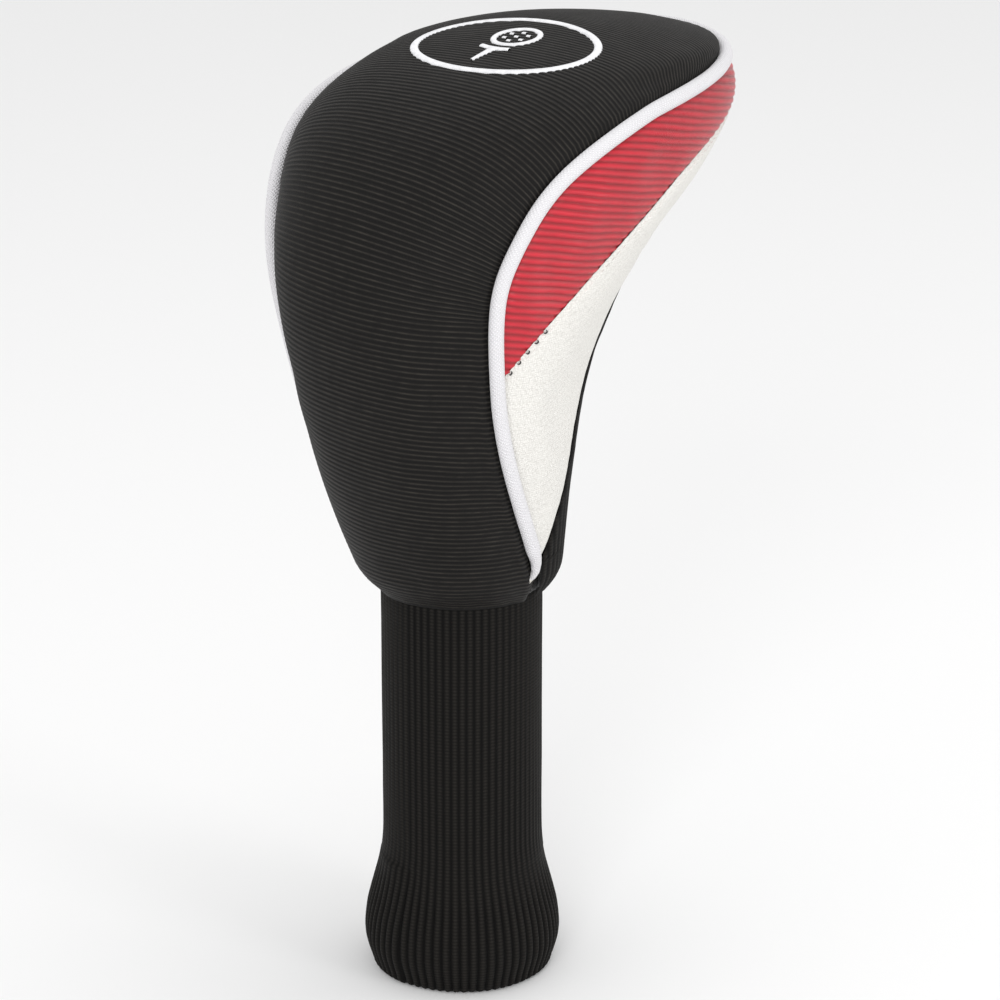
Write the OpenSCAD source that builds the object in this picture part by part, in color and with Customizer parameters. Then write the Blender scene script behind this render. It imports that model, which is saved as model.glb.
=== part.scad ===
// Driver head cover: a padded hood of sewn panels on a ribbed knit sock.
// The origin is on the sock's axis at the bottom of its cuff, +Z runs up the sock,
// -Y is the brow of the hood, +Y its rounded tail, and X is left and right.

/* [Hood] */
// Height of the hood from its hem to the crown
hood_h = 190; // [175:1:205]
// Reach of the brow in front of the sock's axis
brow_reach = 65; // [60:1:70]
// Reach of the tail behind the sock's axis
tail_reach = 118; // [108:1:128]
// Greatest width of the hood
hood_w = 136; // [126:1:146]
// Radius of the hood just above its hem
hem_r = 34; // [33:0.5:36]
// How far the last few millimetres of the hem curl in, as a share of the radius
hem_curl = 0.12; // [0.08:0.01:0.14]

/* [Layers] */
// Thickness of the outer fabric
fabric_t = 1.0; // [0.6:0.1:1.2]
// Space between the outer fabric and the foam
foam_gap = 0.5; // [0.4:0.1:0.8]
// Thickness of the foam
foam_t = 3.0; // [2:0.5:4]
// Thickness of the fleece lining
lining_t = 0.6; // [0.4:0.1:1]

/* [Piping and emblem] */
// Radius of the bias-tape piping
piping_r = 2.0; // [1.5:0.1:2.2]
// Radius of the cord inside the piping
piping_cord_r = 1.1; // [0.7:0.1:1.2]
// Height of the piping's centre above the fabric
piping_lift = 0.8; // [0.6:0.1:1.2]
// Half-width of the emblem's oval border
emblem_half_w = 36; // [28:1:38]
// Half-depth of the emblem's oval border, front to back
emblem_half_d = 26; // [20:1:28]
// Width of the emblem's satin-stitch lines
stitch_w = 3; // [2:0.5:4]

/* [Sock] */
// Outer radius of the sock's straight part
sock_r = 28; // [27:0.5:29]
// Inner radius of the sock, where the club's shaft and neck pass
mouth_r = 24.5; // [23:0.5:25]
// Thickness of one ply of rib knit
ply_t = 1.6; // [1.2:0.1:1.8]
// Greatest radius of the flared cuff
cuff_r = 34.5; // [32:0.5:36]
// Height of the sock from its cuff to where the neck starts to flex
sock_h = 117; // [110:1:117]
// Height of the hood's hem above the cuff
hem_z = 143; // [143:1:150]

/* [Hidden] */

black = [0.09, 0.09, 0.09];
red = [0.78, 0.08, 0.13];
white = [0.93, 0.93, 0.92];

// The hood is a stack of level egg-shaped slices. Nine stations run from the hem to the crown,
// and a smooth curve through them gives every slice between.
slice_shares = [0, 0.226, 0.432, 0.605, 0.747, 0.858, 0.932, 0.974, 1];
slice_z = [for (share = slice_shares) hem_z + hood_h * share];
crown_y = 54;
slice_front = concat(
  [-hem_r],
  brow_reach * [-0.77, -0.94, -1, -0.88, -0.63, -0.26, 0.23],
  [crown_y]
);
slice_back = concat([hem_r], tail_reach * [0.305, 0.39, 0.62, 0.88, 1, 0.966, 0.83], [crown_y]);
slice_half_w = concat([hem_r], hood_w / 2 * [0.647, 0.765, 0.882, 0.985, 1, 0.882, 0.706, 0]);
// Where each slice is widest, as a share of its length from the front
slice_waist = [0.5, 0.4, 0.35, 0.44];
// Roundness of the front and back halves of a slice: 2 is an ellipse, more is squarer
slice_front_pow = [2, 2.2, 2.3, 2.1];
slice_back_pow = [2, 1.8, 2, 1.9];
// The share of the height over which the hem curls in
hem_share = 0.03;

// Seams as [height share, angle from the front] points. Each ends on the centre line at the back.
piping_path = [
  [0, 96], [0.145, 73], [0.29, 62], [0.435, 56],
  [0.58, 63], [0.69, 90], [0.75, 135], [0.78, 180]
];
side_seam_path = [[0.265, 64], [0.4, 96], [0.53, 114], [0.61, 142], [0.64, 180]];
gusset_path = [[0.045, 92], [0.08, 104], [0.14, 118], [0.25, 127], [0.36, 142], [0.4, 180]];
// Where the side seam leaves the piping, and where the crown's rows give way to its round end
piping_at_side_seam = 0.27;
crown_rows_end = 0.79;
// The last angle before the centre seam at the back
back_angle = 179.7;

// Clearances between a panel's edge and the piping or the next panel
piping_clear = piping_r + 0.3;
seam_clear = 0.25;
foam_depth = fabric_t + foam_gap;
lining_depth = foam_depth + foam_t + 0.2;

// The nets that the crown's layers and the padding are built on
crown_cols = 16;
crown_rows = 24;
crown_rings = 4;
side_cols = 8;
white_cols = 12;
padding_rows = 20;
padding_cols = 10;
padding_rings = 3;
// The padding stops short of the hem and of the tail, at these shares of the piping's length
padding_start = 0.08;
padding_end = 0.93;

// Where each panel starts and stops, as a share of the seam it follows
red_start = 0.06;
white_start = 0.09;
white_seam_start = 0.05;
white_seam_end = 0.95;
white_gusset_start = 0.12;
// The centre seam under the white panels, as shares of the hood's height
white_back_low = 0.4;
white_back_high = 0.62;
gusset_start = 0.04;
gusset_end = 0.94;
topstitch_start = 0.08;
topstitch_end = 0.97;
topstitch_shift = 1.2;

emblem_x = 3;
emblem_y = 20;
emblem_lift = 0.4;
emblem_t = 0.8;

neck_z = hem_z - 0.5;
sleeve_z = sock_h + 0.5;
round_fn = 96;

// Smooth curve through a list of numbers or points, at a share of its length
function after(list, last) = last == undef ? 2 * list[len(list) - 1] - list[len(list) - 2] : last;
function spline(list, share, last) =
  let (
    n = len(list) - 1,
    x = max(0, min(1, share)) * n,
    i = min(floor(x), n - 1),
    f = x - i,
    a = i > 0 ? list[i - 1] : 2 * list[0] - list[1],
    b = list[i],
    c = list[i + 1],
    d = i + 2 <= n ? list[i + 2] : after(list, last)
  )
  0.5 * (2 * b + (c - a) * f + (2 * a - 5 * b + 4 * c - d) * f * f + (3 * b - a - 3 * c + d) * f * f * f);

function rounded(x, power) = sign(x) * pow(abs(x), 2 / power);
function hem_in(u) = 1 - hem_curl * pow(max(0, 1 - u / hem_share), 2);

// A point on the hood's outer face: u runs from the hem to the crown, v is degrees from the front
function hood(uv) =
  let (
    u = uv[0],
    v = uv[1],
    front = spline(slice_front, u),
    back = spline(slice_back, u),
    waist = front + spline(slice_waist, u) * (back - front),
    power = cos(v) >= 0 ? spline(slice_front_pow, u) : spline(slice_back_pow, u),
    reach = cos(v) >= 0 ? waist - front : back - waist
  )
  [
    spline(slice_half_w, u) * rounded(sin(v), power) * hem_in(u),
    (waist - reach * rounded(cos(v), power)) * hem_in(u),
    spline(slice_z, u, slice_z[len(slice_z) - 2])
  ];

u_step = 0.002;
v_step = 0.5;
function along_u(uv) =
  let (high = min(1, uv[0] + u_step), low = max(0, uv[0] - u_step))
  (hood([high, uv[1]]) - hood([low, uv[1]])) / u_step / 2;
function along_v(uv) = (hood(uv + [0, v_step]) - hood(uv - [0, v_step])) / v_step / 2;
function unit(a) = a / norm(a);
function normal(uv) = uv[0] > 0.999 ? [0, 0, 1] : unit(cross(along_v(uv), along_u(uv)));
function layer(uv, depth) = hood(uv) - depth * normal(uv);

// A point on a seam, moved sideways over the fabric: a positive shift goes towards the back
function on_path(path, share) =
  let (last = path[len(path) - 2])
  spline(path, share, [last[0], 360 - last[1]]);
function shifted(path, share, shift) =
  let (
    uv = on_path(path, share),
    step = on_path(path, min(1, share + 0.01)) - on_path(path, max(0, share - 0.01)),
    su = along_u(uv),
    sv = along_v(uv),
    run = unit(su * step[0] + sv * step[1]),
    side = cross(run, normal(uv)) * shift,
    uu = su * su,
    uv_both = su * sv,
    vv = sv * sv,
    det = uu * vv - uv_both * uv_both,
    step_u = ((side * su) * vv - (side * sv) * uv_both) / det,
    step_v = ((side * sv) * uu - (side * su) * uv_both) / det
  )
  uv + [step_u, step_v];
function short_of_back(uv) = [uv[0], min(uv[1], back_angle)];
function mix(a, b, share) = a + (b - a) * share;

// A closed sheet between an outer and an inner copy of the same net of points
module sheet(outer, inner, faces, rim) {
  n = len(outer);
  walls = [
    for (i = [0 : len(rim) - 1])
      let (p = rim[i], q = rim[(i + 1) % len(rim)])
      [q, p, p + n, q + n]
  ];
  polyhedron(
    points = concat(outer, inner),
    faces = concat(faces, [for (f = faces) [f[2] + n, f[1] + n, f[0] + n]], walls)
  );
}

function two_triangles(a, b, c, d) = [[a, d, c], [a, c, b]];

// A panel ruled between a left and a right edge, given as lists of [u, v] from the hem upwards
module ruled_panel(left, right, cols, depth, thick) {
  rows = len(left) - 1;
  w = cols + 1;
  net = [for (r = [0 : rows]) for (c = [0 : cols]) mix(left[r], right[r], c / cols)];
  faces = [
    for (r = [0 : rows - 1])
      for (c = [0 : cols - 1])
        each two_triangles(r * w + c, r * w + c + 1, (r + 1) * w + c + 1, (r + 1) * w + c)
  ];
  rim = concat(
    [for (r = [0 : rows]) r * w],
    [for (c = [1 : cols]) rows * w + c],
    [for (r = [rows - 1 : -1 : 0]) r * w + cols],
    [for (c = [cols - 1 : -1 : 1]) c]
  );
  sheet([for (uv = net) layer(uv, depth)], [for (uv = net) layer(uv, depth + thick)], faces, rim);
}

// The tongue-shaped crown: level rows up the front, then rings that close over the top
module tongue(start, rows, cols, rings, depth, thick) {
  w = cols + 1;
  bend = 6;
  edge = [for (r = [0 : rows]) shifted(piping_path, mix(start, crown_rows_end, r / rows), -piping_clear)];
  end = [for (k = [1 : bend]) shifted(piping_path, mix(crown_rows_end, 1, k / bend), -piping_clear)];
  net = [for (uv = edge) for (c = [0 : cols]) [uv[0], mix(-uv[1], uv[1], c / cols)]];
  bend_points = concat(end, [for (k = [bend - 2 : -1 : 0]) [end[k][0], 360 - end[k][1]]]);
  ring = concat([for (c = [0 : cols]) net[rows * w + c]], bend_points);
  n = len(ring);
  inner_rings = [
    for (j = [1 : rings - 1])
      for (uv = ring)
        [1 + (uv[0] - 1) * (1 - j / rings), uv[1]]
  ];
  points = concat(net, bend_points, inner_rings, [[1, 0]]);
  first_ring = (rows + 1) * w + len(bend_points);
  top = len(points) - 1;
  faces = concat(
    [
      for (r = [0 : rows - 1])
        for (c = [0 : cols - 1])
          each two_triangles(r * w + c, r * w + c + 1, (r + 1) * w + c + 1, (r + 1) * w + c)
    ],
    [
      for (i = [0 : n - 1])
        let (k = (i + 1) % n)
        each two_triangles(rows * w + i, rows * w + k, first_ring + k, first_ring + i)
    ],
    [
      for (j = [0 : rings - 3])
        for (i = [0 : n - 1])
          let (k = (i + 1) % n, low = first_ring + j * n, high = low + n)
          each two_triangles(low + i, low + k, high + k, high + i)
    ],
    [for (i = [0 : n - 1]) [top - n + i, top, top - n + (i + 1) % n]]
  );
  rim = concat(
    [for (r = [0 : rows]) r * w],
    [for (i = [n - 1 : -1 : cols]) rows * w + i],
    [for (r = [rows - 1 : -1 : 0]) r * w + cols],
    [for (c = [cols - 1 : -1 : 1]) c]
  );
  sheet([for (uv = points) layer(uv, depth)], [for (uv = points) layer(uv, depth + thick)], faces, rim);
}

module left_side() {
  mirror([1, 0, 0])
    children();
}

module crown_panel() {
  color(black)
    tongue(0, crown_rows, crown_cols, crown_rings, 0, fabric_t);
}

module red_panel() {
  rows = 18;
  spans = [for (r = [0 : rows]) mix(red_start, 1, r / rows)];
  top = [for (s = spans) shifted(piping_path, mix(piping_at_side_seam, 1, s), piping_clear)];
  bottom = [for (s = spans) shifted(side_seam_path, s, -seam_clear)];
  color(red)
    ruled_panel(
      [for (uv = top) short_of_back(uv)],
      [for (uv = bottom) short_of_back(uv)],
      side_cols, 0, fabric_t
    );
}

// The white panel starts as a point between the piping and the gusset, and ends as one at the back
module white_panel() {
  low = 12;
  high = 12;
  low_shares = [for (r = [0 : low]) mix(white_start, piping_at_side_seam, r / low)];
  high_shares = [for (r = [1 : high]) mix(white_seam_start, white_seam_end, r / high)];
  front_edge = concat(
    [for (share = low_shares) shifted(piping_path, share, piping_clear)],
    [for (share = high_shares) short_of_back(shifted(side_seam_path, share, seam_clear))]
  );
  gusset_rows = 16;
  centre_rows = low + high - gusset_rows;
  gusset_shares = [for (r = [0 : gusset_rows]) mix(white_gusset_start, 1, r / gusset_rows)];
  back_edge = concat(
    [for (share = gusset_shares) short_of_back(shifted(gusset_path, share, -seam_clear))],
    [for (r = [1 : centre_rows]) [mix(white_back_low, white_back_high, r / centre_rows), back_angle]]
  );
  color(white)
    ruled_panel(front_edge, back_edge, white_cols, 0, fabric_t);
}

module back_gusset() {
  rows = 14;
  hem_rows = 2;
  edge = concat(
    [for (r = [0 : hem_rows - 1]) shifted(piping_path, gusset_start * r / hem_rows, piping_clear)],
    [for (r = [0 : rows]) shifted(gusset_path, mix(gusset_start, gusset_end, r / rows), seam_clear)]
  );
  color(black)
    ruled_panel(edge, [for (uv = edge) [uv[0], 360 - uv[1]]], side_cols, 0, fabric_t);
}

// Side padding: foam or lining from the piping round to the centre seam at the back
module side_padding(depth, thick) {
  shares = [for (r = [0 : padding_rows]) mix(padding_start, padding_end, r / padding_rows)];
  edge = [for (share = shares) shifted(piping_path, share, seam_clear)];
  ruled_panel(edge, [for (uv = edge) [uv[0], back_angle]], padding_cols, depth, thick);
}

module foam_crown() {
  color("khaki")
    tongue(padding_start, padding_rows, crown_cols, padding_rings, foam_depth, foam_t);
}

module foam_side() {
  color("khaki")
    side_padding(foam_depth, foam_t);
}

module lining_crown() {
  color("dimgray")
    tongue(padding_start, padding_rows, crown_cols, padding_rings, lining_depth, lining_t);
}

module lining_side() {
  color("dimgray")
    side_padding(lining_depth, lining_t);
}

// A round hose along a list of [u, v] points, at a height above the fabric
module hose(path, lift, outer_r, inner_r, sides) {
  n = len(path);
  centres = [for (uv = path) layer(uv, -lift)];
  ups = [for (uv = path) normal(uv)];
  runs = [for (i = [0 : n - 1]) unit(centres[min(i + 1, n - 1)] - centres[max(i - 1, 0)])];
  sides_out = [for (i = [0 : n - 1]) unit(cross(ups[i], runs[i]))];
  function ring(i, r) = [
    for (k = [0 : sides - 1])
      centres[i] + r * (cos(360 * k / sides) * ups[i] + sin(360 * k / sides) * sides_out[i])
  ];
  outer = [for (i = [0 : n - 1]) each ring(i, outer_r)];
  inner = inner_r > 0 ? [for (i = [0 : n - 1]) each ring(i, inner_r)] : [];
  m = len(outer);
  last = m - sides;
  skin = [
    for (i = [0 : n - 2])
      for (k = [0 : sides - 1])
        let (j = (k + 1) % sides, low = i * sides, high = low + sides)
        each two_triangles(low + k, low + j, high + j, high + k)
  ];
  ends = inner_r > 0
    ? concat(
        [for (k = [0 : sides - 1]) let (j = (k + 1) % sides) [k, j, m + j, m + k]],
        [
          for (k = [0 : sides - 1])
            let (j = (k + 1) % sides, p = last + k, q = last + j)
            [q, p, m + p, m + q]
        ]
      )
    : [[for (k = [0 : sides - 1]) k], [for (k = [sides - 1 : -1 : 0]) last + k]];
  bore = inner_r > 0 ? [for (f = skin) [f[2] + m, f[1] + m, f[0] + m]] : [];
  polyhedron(points = concat(outer, inner), faces = concat(skin, bore, ends));
}

// The piping is one length: up the right side, round the tail, and down the left side
piping_steps = 34;
piping_run = [for (i = [0 : piping_steps]) on_path(piping_path, mix(0.03, 1, i / piping_steps))];
piping_loop = concat(
  piping_run,
  [for (i = [piping_steps - 1 : -1 : 0]) [piping_run[i][0], 360 - piping_run[i][1]]]
);

module piping_tape() {
  color("white")
    hose(piping_loop, piping_lift, piping_r, piping_cord_r + 0.2, 8);
}

module piping_cord() {
  color("ivory")
    hose(piping_loop, piping_lift, piping_cord_r, 0, 6);
}

module topstitch() {
  steps = 22;
  thread_r = 0.3;
  thread_lift = 0.6;
  shares = [for (i = [0 : steps]) mix(topstitch_start, topstitch_end, i / steps)];
  line = [for (share = shares) shifted(side_seam_path, share, topstitch_shift)];
  color("silver")
    hose(line, thread_lift, thread_r, 0, 4);
}

// Height of the crown above a point in plan, found by halving between two slices
function outside(x, y, u) =
  let (
    front = spline(slice_front, u),
    back = spline(slice_back, u),
    waist = front + spline(slice_waist, u) * (back - front),
    ahead = y < waist,
    power = ahead ? spline(slice_front_pow, u) : spline(slice_back_pow, u),
    reach = ahead ? waist - front : back - waist
  )
  pow(abs(x) / spline(slice_half_w, u), power) + pow(abs(y - waist) / reach, power) > 1;
function roof_share(x, y, low, high, rounds) =
  rounds == 0 ? (low + high) / 2
  : let (half = (low + high) / 2)
    outside(x, y, half)
    ? roof_share(x, y, low, half, rounds - 1)
    : roof_share(x, y, half, high, rounds - 1);
function roof(p) =
  let (u = roof_share(p[0], p[1], 0.6, 0.999, 16))
  [p[0], p[1], spline(slice_z, u, slice_z[len(slice_z) - 2])];

// Raised embroidery between two outlines in plan, an outer and an inner one of as many points
module embroidery(outer, inner) {
  n = len(outer);
  low = [for (p = concat(outer, inner)) roof(p) + [0, 0, emblem_lift]];
  high = [for (p = low) p + [0, 0, emblem_t]];
  m = 2 * n;
  polyhedron(
    points = concat(low, high),
    faces = [
      for (i = [0 : n - 1])
        let (j = (i + 1) % n)
        each concat(
          two_triangles(m + i, m + n + i, m + n + j, m + j),
          two_triangles(i, j, n + j, n + i),
          two_triangles(j, i, m + i, m + j),
          two_triangles(n + i, n + j, m + n + j, m + n + i)
        )
    ]
  );
}

function oval(rx, ry, centre, steps) = [
  for (i = [0 : steps - 1])
    let (angle = 360 * i / steps)
    centre + [rx * cos(angle), ry * sin(angle)]
];

// The emblem is a plain oval border round a golf ball on its tee
ball_r = 9;
// The ball's stitches leave a small hole at its middle
ball_hole_r = 1;
ring_steps = 48;
ball_steps = 28;
ball_centre = [emblem_x, emblem_y + 6];
emblem_centre = [emblem_x, emblem_y];

module emblem_ring() {
  color("white")
    embroidery(
      oval(emblem_half_w, emblem_half_d, emblem_centre, ring_steps),
      oval(emblem_half_w - stitch_w, emblem_half_d - stitch_w, emblem_centre, ring_steps)
    );
}

module emblem_ball() {
  color("white")
    embroidery(
      oval(ball_r, ball_r, ball_centre, ball_steps),
      oval(ball_hole_r, ball_hole_r, ball_centre, ball_steps)
    );
}

// The tee is a cup under the ball on a stem that narrows to a point
module emblem_tee() {
  top = ball_centre[1] - ball_r - 1.5;
  half_outline = [[6, 0], [5, -2.5], [1.6, -4], [0.8, -13]];
  outline = concat(
    [for (p = half_outline) [-p[0], p[1]]],
    [for (i = [3 : -1 : 0]) half_outline[i]]
  );
  middle = [emblem_x, top - 4];
  edge = [for (p = outline) [emblem_x, top] + p];
  color("white")
    embroidery(edge, [for (p = edge) mix(middle, p, 0.1)]);
}

module tube(outer_r, inner_r, low, high) {
  translate([0, 0, low])
    difference() {
      cylinder(h = high - low, r = outer_r, $fn = round_fn);
      translate([0, 0, -1])
        cylinder(h = high - low + 2, r = inner_r, $fn = round_fn);
    }
}

// Inside the hem an elastic band grips the sock, whose top edge is bound with fleece
elastic_r = hem_r - 5.8;
elastic_t = 1.8;
ply_gap = 0.3;
binding_t = 1.2;

module neck_elastic() {
  color("gray")
    tube(elastic_r, elastic_r - elastic_t, hem_z + 1, hem_z + 7);
}

module neck_binding() {
  color("dimgray")
    tube(mouth_r + ply_gap + binding_t, mouth_r + ply_gap, hem_z + 0.5, hem_z + 9);
}

module neck_sleeve_outer() {
  color(black)
    tube(sock_r, sock_r - ply_t, sleeve_z, neck_z);
}

module neck_sleeve_inner() {
  color(black)
    tube(sock_r - ply_t - ply_gap, mouth_r + ply_gap, sleeve_z, neck_z);
}

// The cuff flares like a bell: radii at even heights from its lower edge to the straight sock
cuff_z = 2.4;
cuff_h = 56;
foot_r = cuff_r - 2.6;
cuff_radii = [foot_r, cuff_r, cuff_r - 0.6, cuff_r - 2.9, cuff_r - 5, sock_r + 0.3, sock_r];

module sock_outer_knit() {
  steps = 24;
  bell = [for (i = [0 : steps]) [spline(cuff_radii, i / steps), cuff_z + cuff_h * i / steps]];
  outer = concat(bell, [[sock_r, sock_h]]);
  inner = [for (i = [len(outer) - 1 : -1 : 0]) outer[i] - [ply_t, 0]];
  color(black)
    rotate_extrude($fn = round_fn)
      polygon(concat(outer, inner));
}

module sock_inner_knit() {
  color(black)
    tube(sock_r - ply_t - ply_gap, mouth_r, 0, sock_h);
}

// The fold that closes the two plies at the bottom has a flat foot and a rounded outer edge
module cuff_hem() {
  fold_r = cuff_z - 0.4;
  color(black)
    rotate_extrude($fn = round_fn)
      difference() {
        union() {
          translate([sock_r - ply_t, 0])
            square([foot_r - fold_r - sock_r + ply_t, fold_r]);
          translate([foot_r - fold_r, fold_r])
            circle(r = fold_r, $fn = 32);
        }
        translate([0, fold_r])
          square([2 * cuff_r, 2 * fold_r]);
      }
}

// A wide elastic between the two plies holds the cuff open
module cuff_elastic() {
  inner_r = sock_r - ply_t + 0.6;
  color("gray")
    tube(cuff_r - 4, inner_r, 6, 20);
}

crown_panel();
left_side() red_panel();  // red_panel_left
red_panel();  // red_panel_right
left_side() white_panel();  // white_panel_left
white_panel();  // white_panel_right
back_gusset();
piping_tape();
piping_cord();
left_side() topstitch();  // topstitch_left
topstitch();  // topstitch_right
emblem_ring();
emblem_ball();
emblem_tee();
foam_crown();
left_side() foam_side();  // foam_left
foam_side();  // foam_right
lining_crown();
left_side() lining_side();  // lining_left
lining_side();  // lining_right
neck_elastic();
neck_binding();
neck_sleeve_outer();
neck_sleeve_inner();
sock_outer_knit();
sock_inner_knit();
cuff_hem();
cuff_elastic();
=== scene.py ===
"""Driver head cover: the looks. Every piece is built in the CAD frame, in millimetres here and
in metres once it becomes a Blender mesh."""
import math

import bpy
import numpy as np
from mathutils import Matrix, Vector
from mathutils.bvhtree import BVHTree
from mathutils.kdtree import KDTree


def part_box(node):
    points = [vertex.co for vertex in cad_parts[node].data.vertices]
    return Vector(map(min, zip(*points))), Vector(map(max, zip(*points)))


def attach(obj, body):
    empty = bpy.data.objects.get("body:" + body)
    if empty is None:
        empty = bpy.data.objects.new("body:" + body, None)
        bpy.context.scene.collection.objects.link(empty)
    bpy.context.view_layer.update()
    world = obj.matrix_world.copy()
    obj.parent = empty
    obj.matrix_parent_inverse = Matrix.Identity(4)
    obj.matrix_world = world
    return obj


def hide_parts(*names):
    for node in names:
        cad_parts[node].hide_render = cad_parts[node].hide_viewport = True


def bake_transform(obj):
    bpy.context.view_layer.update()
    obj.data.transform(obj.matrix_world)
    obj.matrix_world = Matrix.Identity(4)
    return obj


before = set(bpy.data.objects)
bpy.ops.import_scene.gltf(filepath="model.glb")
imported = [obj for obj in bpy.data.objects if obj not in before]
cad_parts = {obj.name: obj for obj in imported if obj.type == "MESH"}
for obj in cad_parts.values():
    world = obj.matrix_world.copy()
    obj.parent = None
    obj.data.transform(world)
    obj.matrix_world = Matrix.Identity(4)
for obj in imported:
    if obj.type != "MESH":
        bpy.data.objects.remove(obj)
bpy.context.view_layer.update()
MM = 0.001


# ---- driving sizes, from the frame

def box_mm(node):
    low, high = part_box(node)
    return np.array(low) / MM, np.array(high) / MM


HEM_Z = box_mm("neck_sleeve_outer")[1][2] + 0.5
CROWN_Z = box_mm("crown_panel")[1][2]
BROW = -box_mm("crown_panel")[0][1]
TAIL = box_mm("red_panel_right")[1][1]
HALF_W = box_mm("red_panel_right")[1][0]
HEM_R = 34.0
SOCK_R = box_mm("neck_sleeve_outer")[1][0]
SOCK_IN_R = 24.5
CUFF_R = box_mm("sock_outer_knit")[1][0]
CUFF_ELASTIC_R = box_mm("cuff_elastic")[1][0]

# The hood's level slices, from the hem to the crown, as shares of the driving sizes
CROWN_Y = 54.0
SLICE_Z = HEM_Z + (CROWN_Z - HEM_Z) * np.array([0, 0.226, 0.432, 0.605, 0.747, 0.858, 0.932, 0.974, 1])
SLICE_FRONT = np.array([-HEM_R] + [-BROW * k for k in (0.77, 0.94, 1, 0.88, 0.63, 0.26, -0.23)] + [CROWN_Y])
SLICE_BACK = np.array([HEM_R] + [TAIL * k for k in (0.305, 0.39, 0.62, 0.88, 1, 0.966, 0.83)] + [CROWN_Y])
SLICE_HALF_W = np.array([HEM_R] + [HALF_W * k for k in (0.647, 0.765, 0.882, 0.985, 1, 0.882, 0.706, 0)])
SLICE_WAIST = np.array([0.5, 0.4, 0.35, 0.44])
FRONT_POW = np.array([2, 2.2, 2.3, 2.1])
BACK_POW = np.array([2, 1.8, 2, 1.9])
HEM_CURL, HEM_SHARE = 0.12, 0.03

# Seams as [u, angle from the front] points, where u runs from 0 at the hem's slice to 1 at the crown's.
# Each ends on the centre line at the back.
PIPING = np.array([
    [0, 96], [0.145, 73], [0.29, 62], [0.435, 56], [0.58, 63], [0.69, 90], [0.75, 135], [0.78, 180],
])
SIDE_SEAM = np.array([[0.265, 64], [0.4, 96], [0.53, 114], [0.61, 142], [0.64, 180]])
GUSSET = np.array([[0.045, 92], [0.08, 104], [0.14, 118], [0.25, 127], [0.36, 142], [0.4, 180]])

PIPING_R = 2.4
PIPING_LIFT = 0.1

# The left seam is drawn in deeper than the right one, so the padding stands out on both sides of it.
# In shares of the piping's length: where that starts, how long it takes to reach its full depth, where
# it ends, and how long it takes to ease off.
LEFT_SINK = 5.2
DRAWN_START, DRAWN_RISE = 0.08, 0.26
DRAWN_END, DRAWN_FALL = 0.95, 0.42
# The piping's share of that depth, and how far from the seam the crown and the sides follow it
PIPING_SINK = 0.72
CROWN_REACH = 24.0
SIDE_REACH = 6.0


# ---- the hood's surface

def spline(points, share, after=None):
    """A smooth curve through the points, at shares of its length from 0 to 1."""
    a = np.asarray(points, float)
    n = len(a) - 1
    tail = 2 * a[-1] - a[-2] if after is None else after
    a = np.concatenate([[2 * a[0] - a[1]], a, [tail]])
    x = np.clip(share, 0, 1) * n
    i = np.minimum(np.floor(x).astype(int), n - 1)
    f = x - i
    if a.ndim == 2:
        f = f[..., None]
    p, q, r, s = a[i], a[i + 1], a[i + 2], a[i + 3]
    return 0.5 * (2 * q + (r - p) * f + (2 * p - 5 * q + 4 * r - s) * f**2 + (3 * q - p - 3 * r + s) * f**3)


SHARES = np.linspace(0, 1, 2001)
TABLE_Z = spline(SLICE_Z, SHARES, SLICE_Z[-2])
HEM_IN = 1 - HEM_CURL * np.clip(1 - SHARES / HEM_SHARE, 0, 1) ** 2
TABLE = {
    "front": spline(SLICE_FRONT, SHARES) * HEM_IN,
    "back": spline(SLICE_BACK, SHARES) * HEM_IN,
    "half_w": np.maximum(spline(SLICE_HALF_W, SHARES) * HEM_IN, 1e-3),
    "waist": spline(SLICE_WAIST, SHARES),
    "front_pow": spline(FRONT_POW, SHARES),
    "back_pow": spline(BACK_POW, SHARES),
}
TABLE["waist"] = TABLE["front"] + TABLE["waist"] * (TABLE["back"] - TABLE["front"])


def at_height(name, z):
    return np.interp(z, TABLE_Z, TABLE[name])


def hood(u, v):
    """Points on the outer face: u from the hem to the crown, v in degrees from the front."""
    z = spline(SLICE_Z, u, SLICE_Z[-2])
    c, s = np.cos(np.radians(v)), np.sin(np.radians(v))
    ahead = c >= 0
    power = np.where(ahead, at_height("front_pow", z), at_height("back_pow", z))
    waist = at_height("waist", z)
    reach = np.where(ahead, waist - at_height("front", z), at_height("back", z) - waist)
    x = at_height("half_w", z) * np.sign(s) * np.abs(s) ** (2 / power)
    y = waist - reach * np.sign(c) * np.abs(c) ** (2 / power)
    return np.stack([x, y, z + 0 * x], -1)


def spread(p):
    """Below 1 inside the hood's outer face and above 1 outside it."""
    x, y, z = p[..., 0], p[..., 1], p[..., 2]
    waist = at_height("waist", z)
    ahead = y < waist
    power = np.where(ahead, at_height("front_pow", z), at_height("back_pow", z))
    reach = np.where(ahead, waist - at_height("front", z), at_height("back", z) - waist)
    sideways = (np.abs(x) / at_height("half_w", z)) ** power
    return sideways + (np.abs(y - waist) / np.maximum(reach, 1e-3)) ** power


def inside(p):
    """Whether points are inside the hood's outer face."""
    return (spread(p) < 1) & (p[..., 2] < CROWN_Z)


def outward(p):
    """Normals of the hood's outer face at points on it."""
    steps = 0.05 * np.eye(3)
    n = np.stack([spread(p + step) - spread(p - step) for step in steps], -1)
    return n / np.linalg.norm(n, axis=-1, keepdims=True)


def cast(centre, ray):
    """The point where each ray from inside leaves the hood, found by halving."""
    low = np.zeros(ray.shape[:-1])
    high = np.full(ray.shape[:-1], 220.0)
    for _ in range(26):
        middle = (low + high) / 2
        within = inside(centre + ray * middle[..., None])
        low = np.where(within, middle, low)
        high = np.where(within, high, middle)
    return centre + ray * low[..., None]


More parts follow.
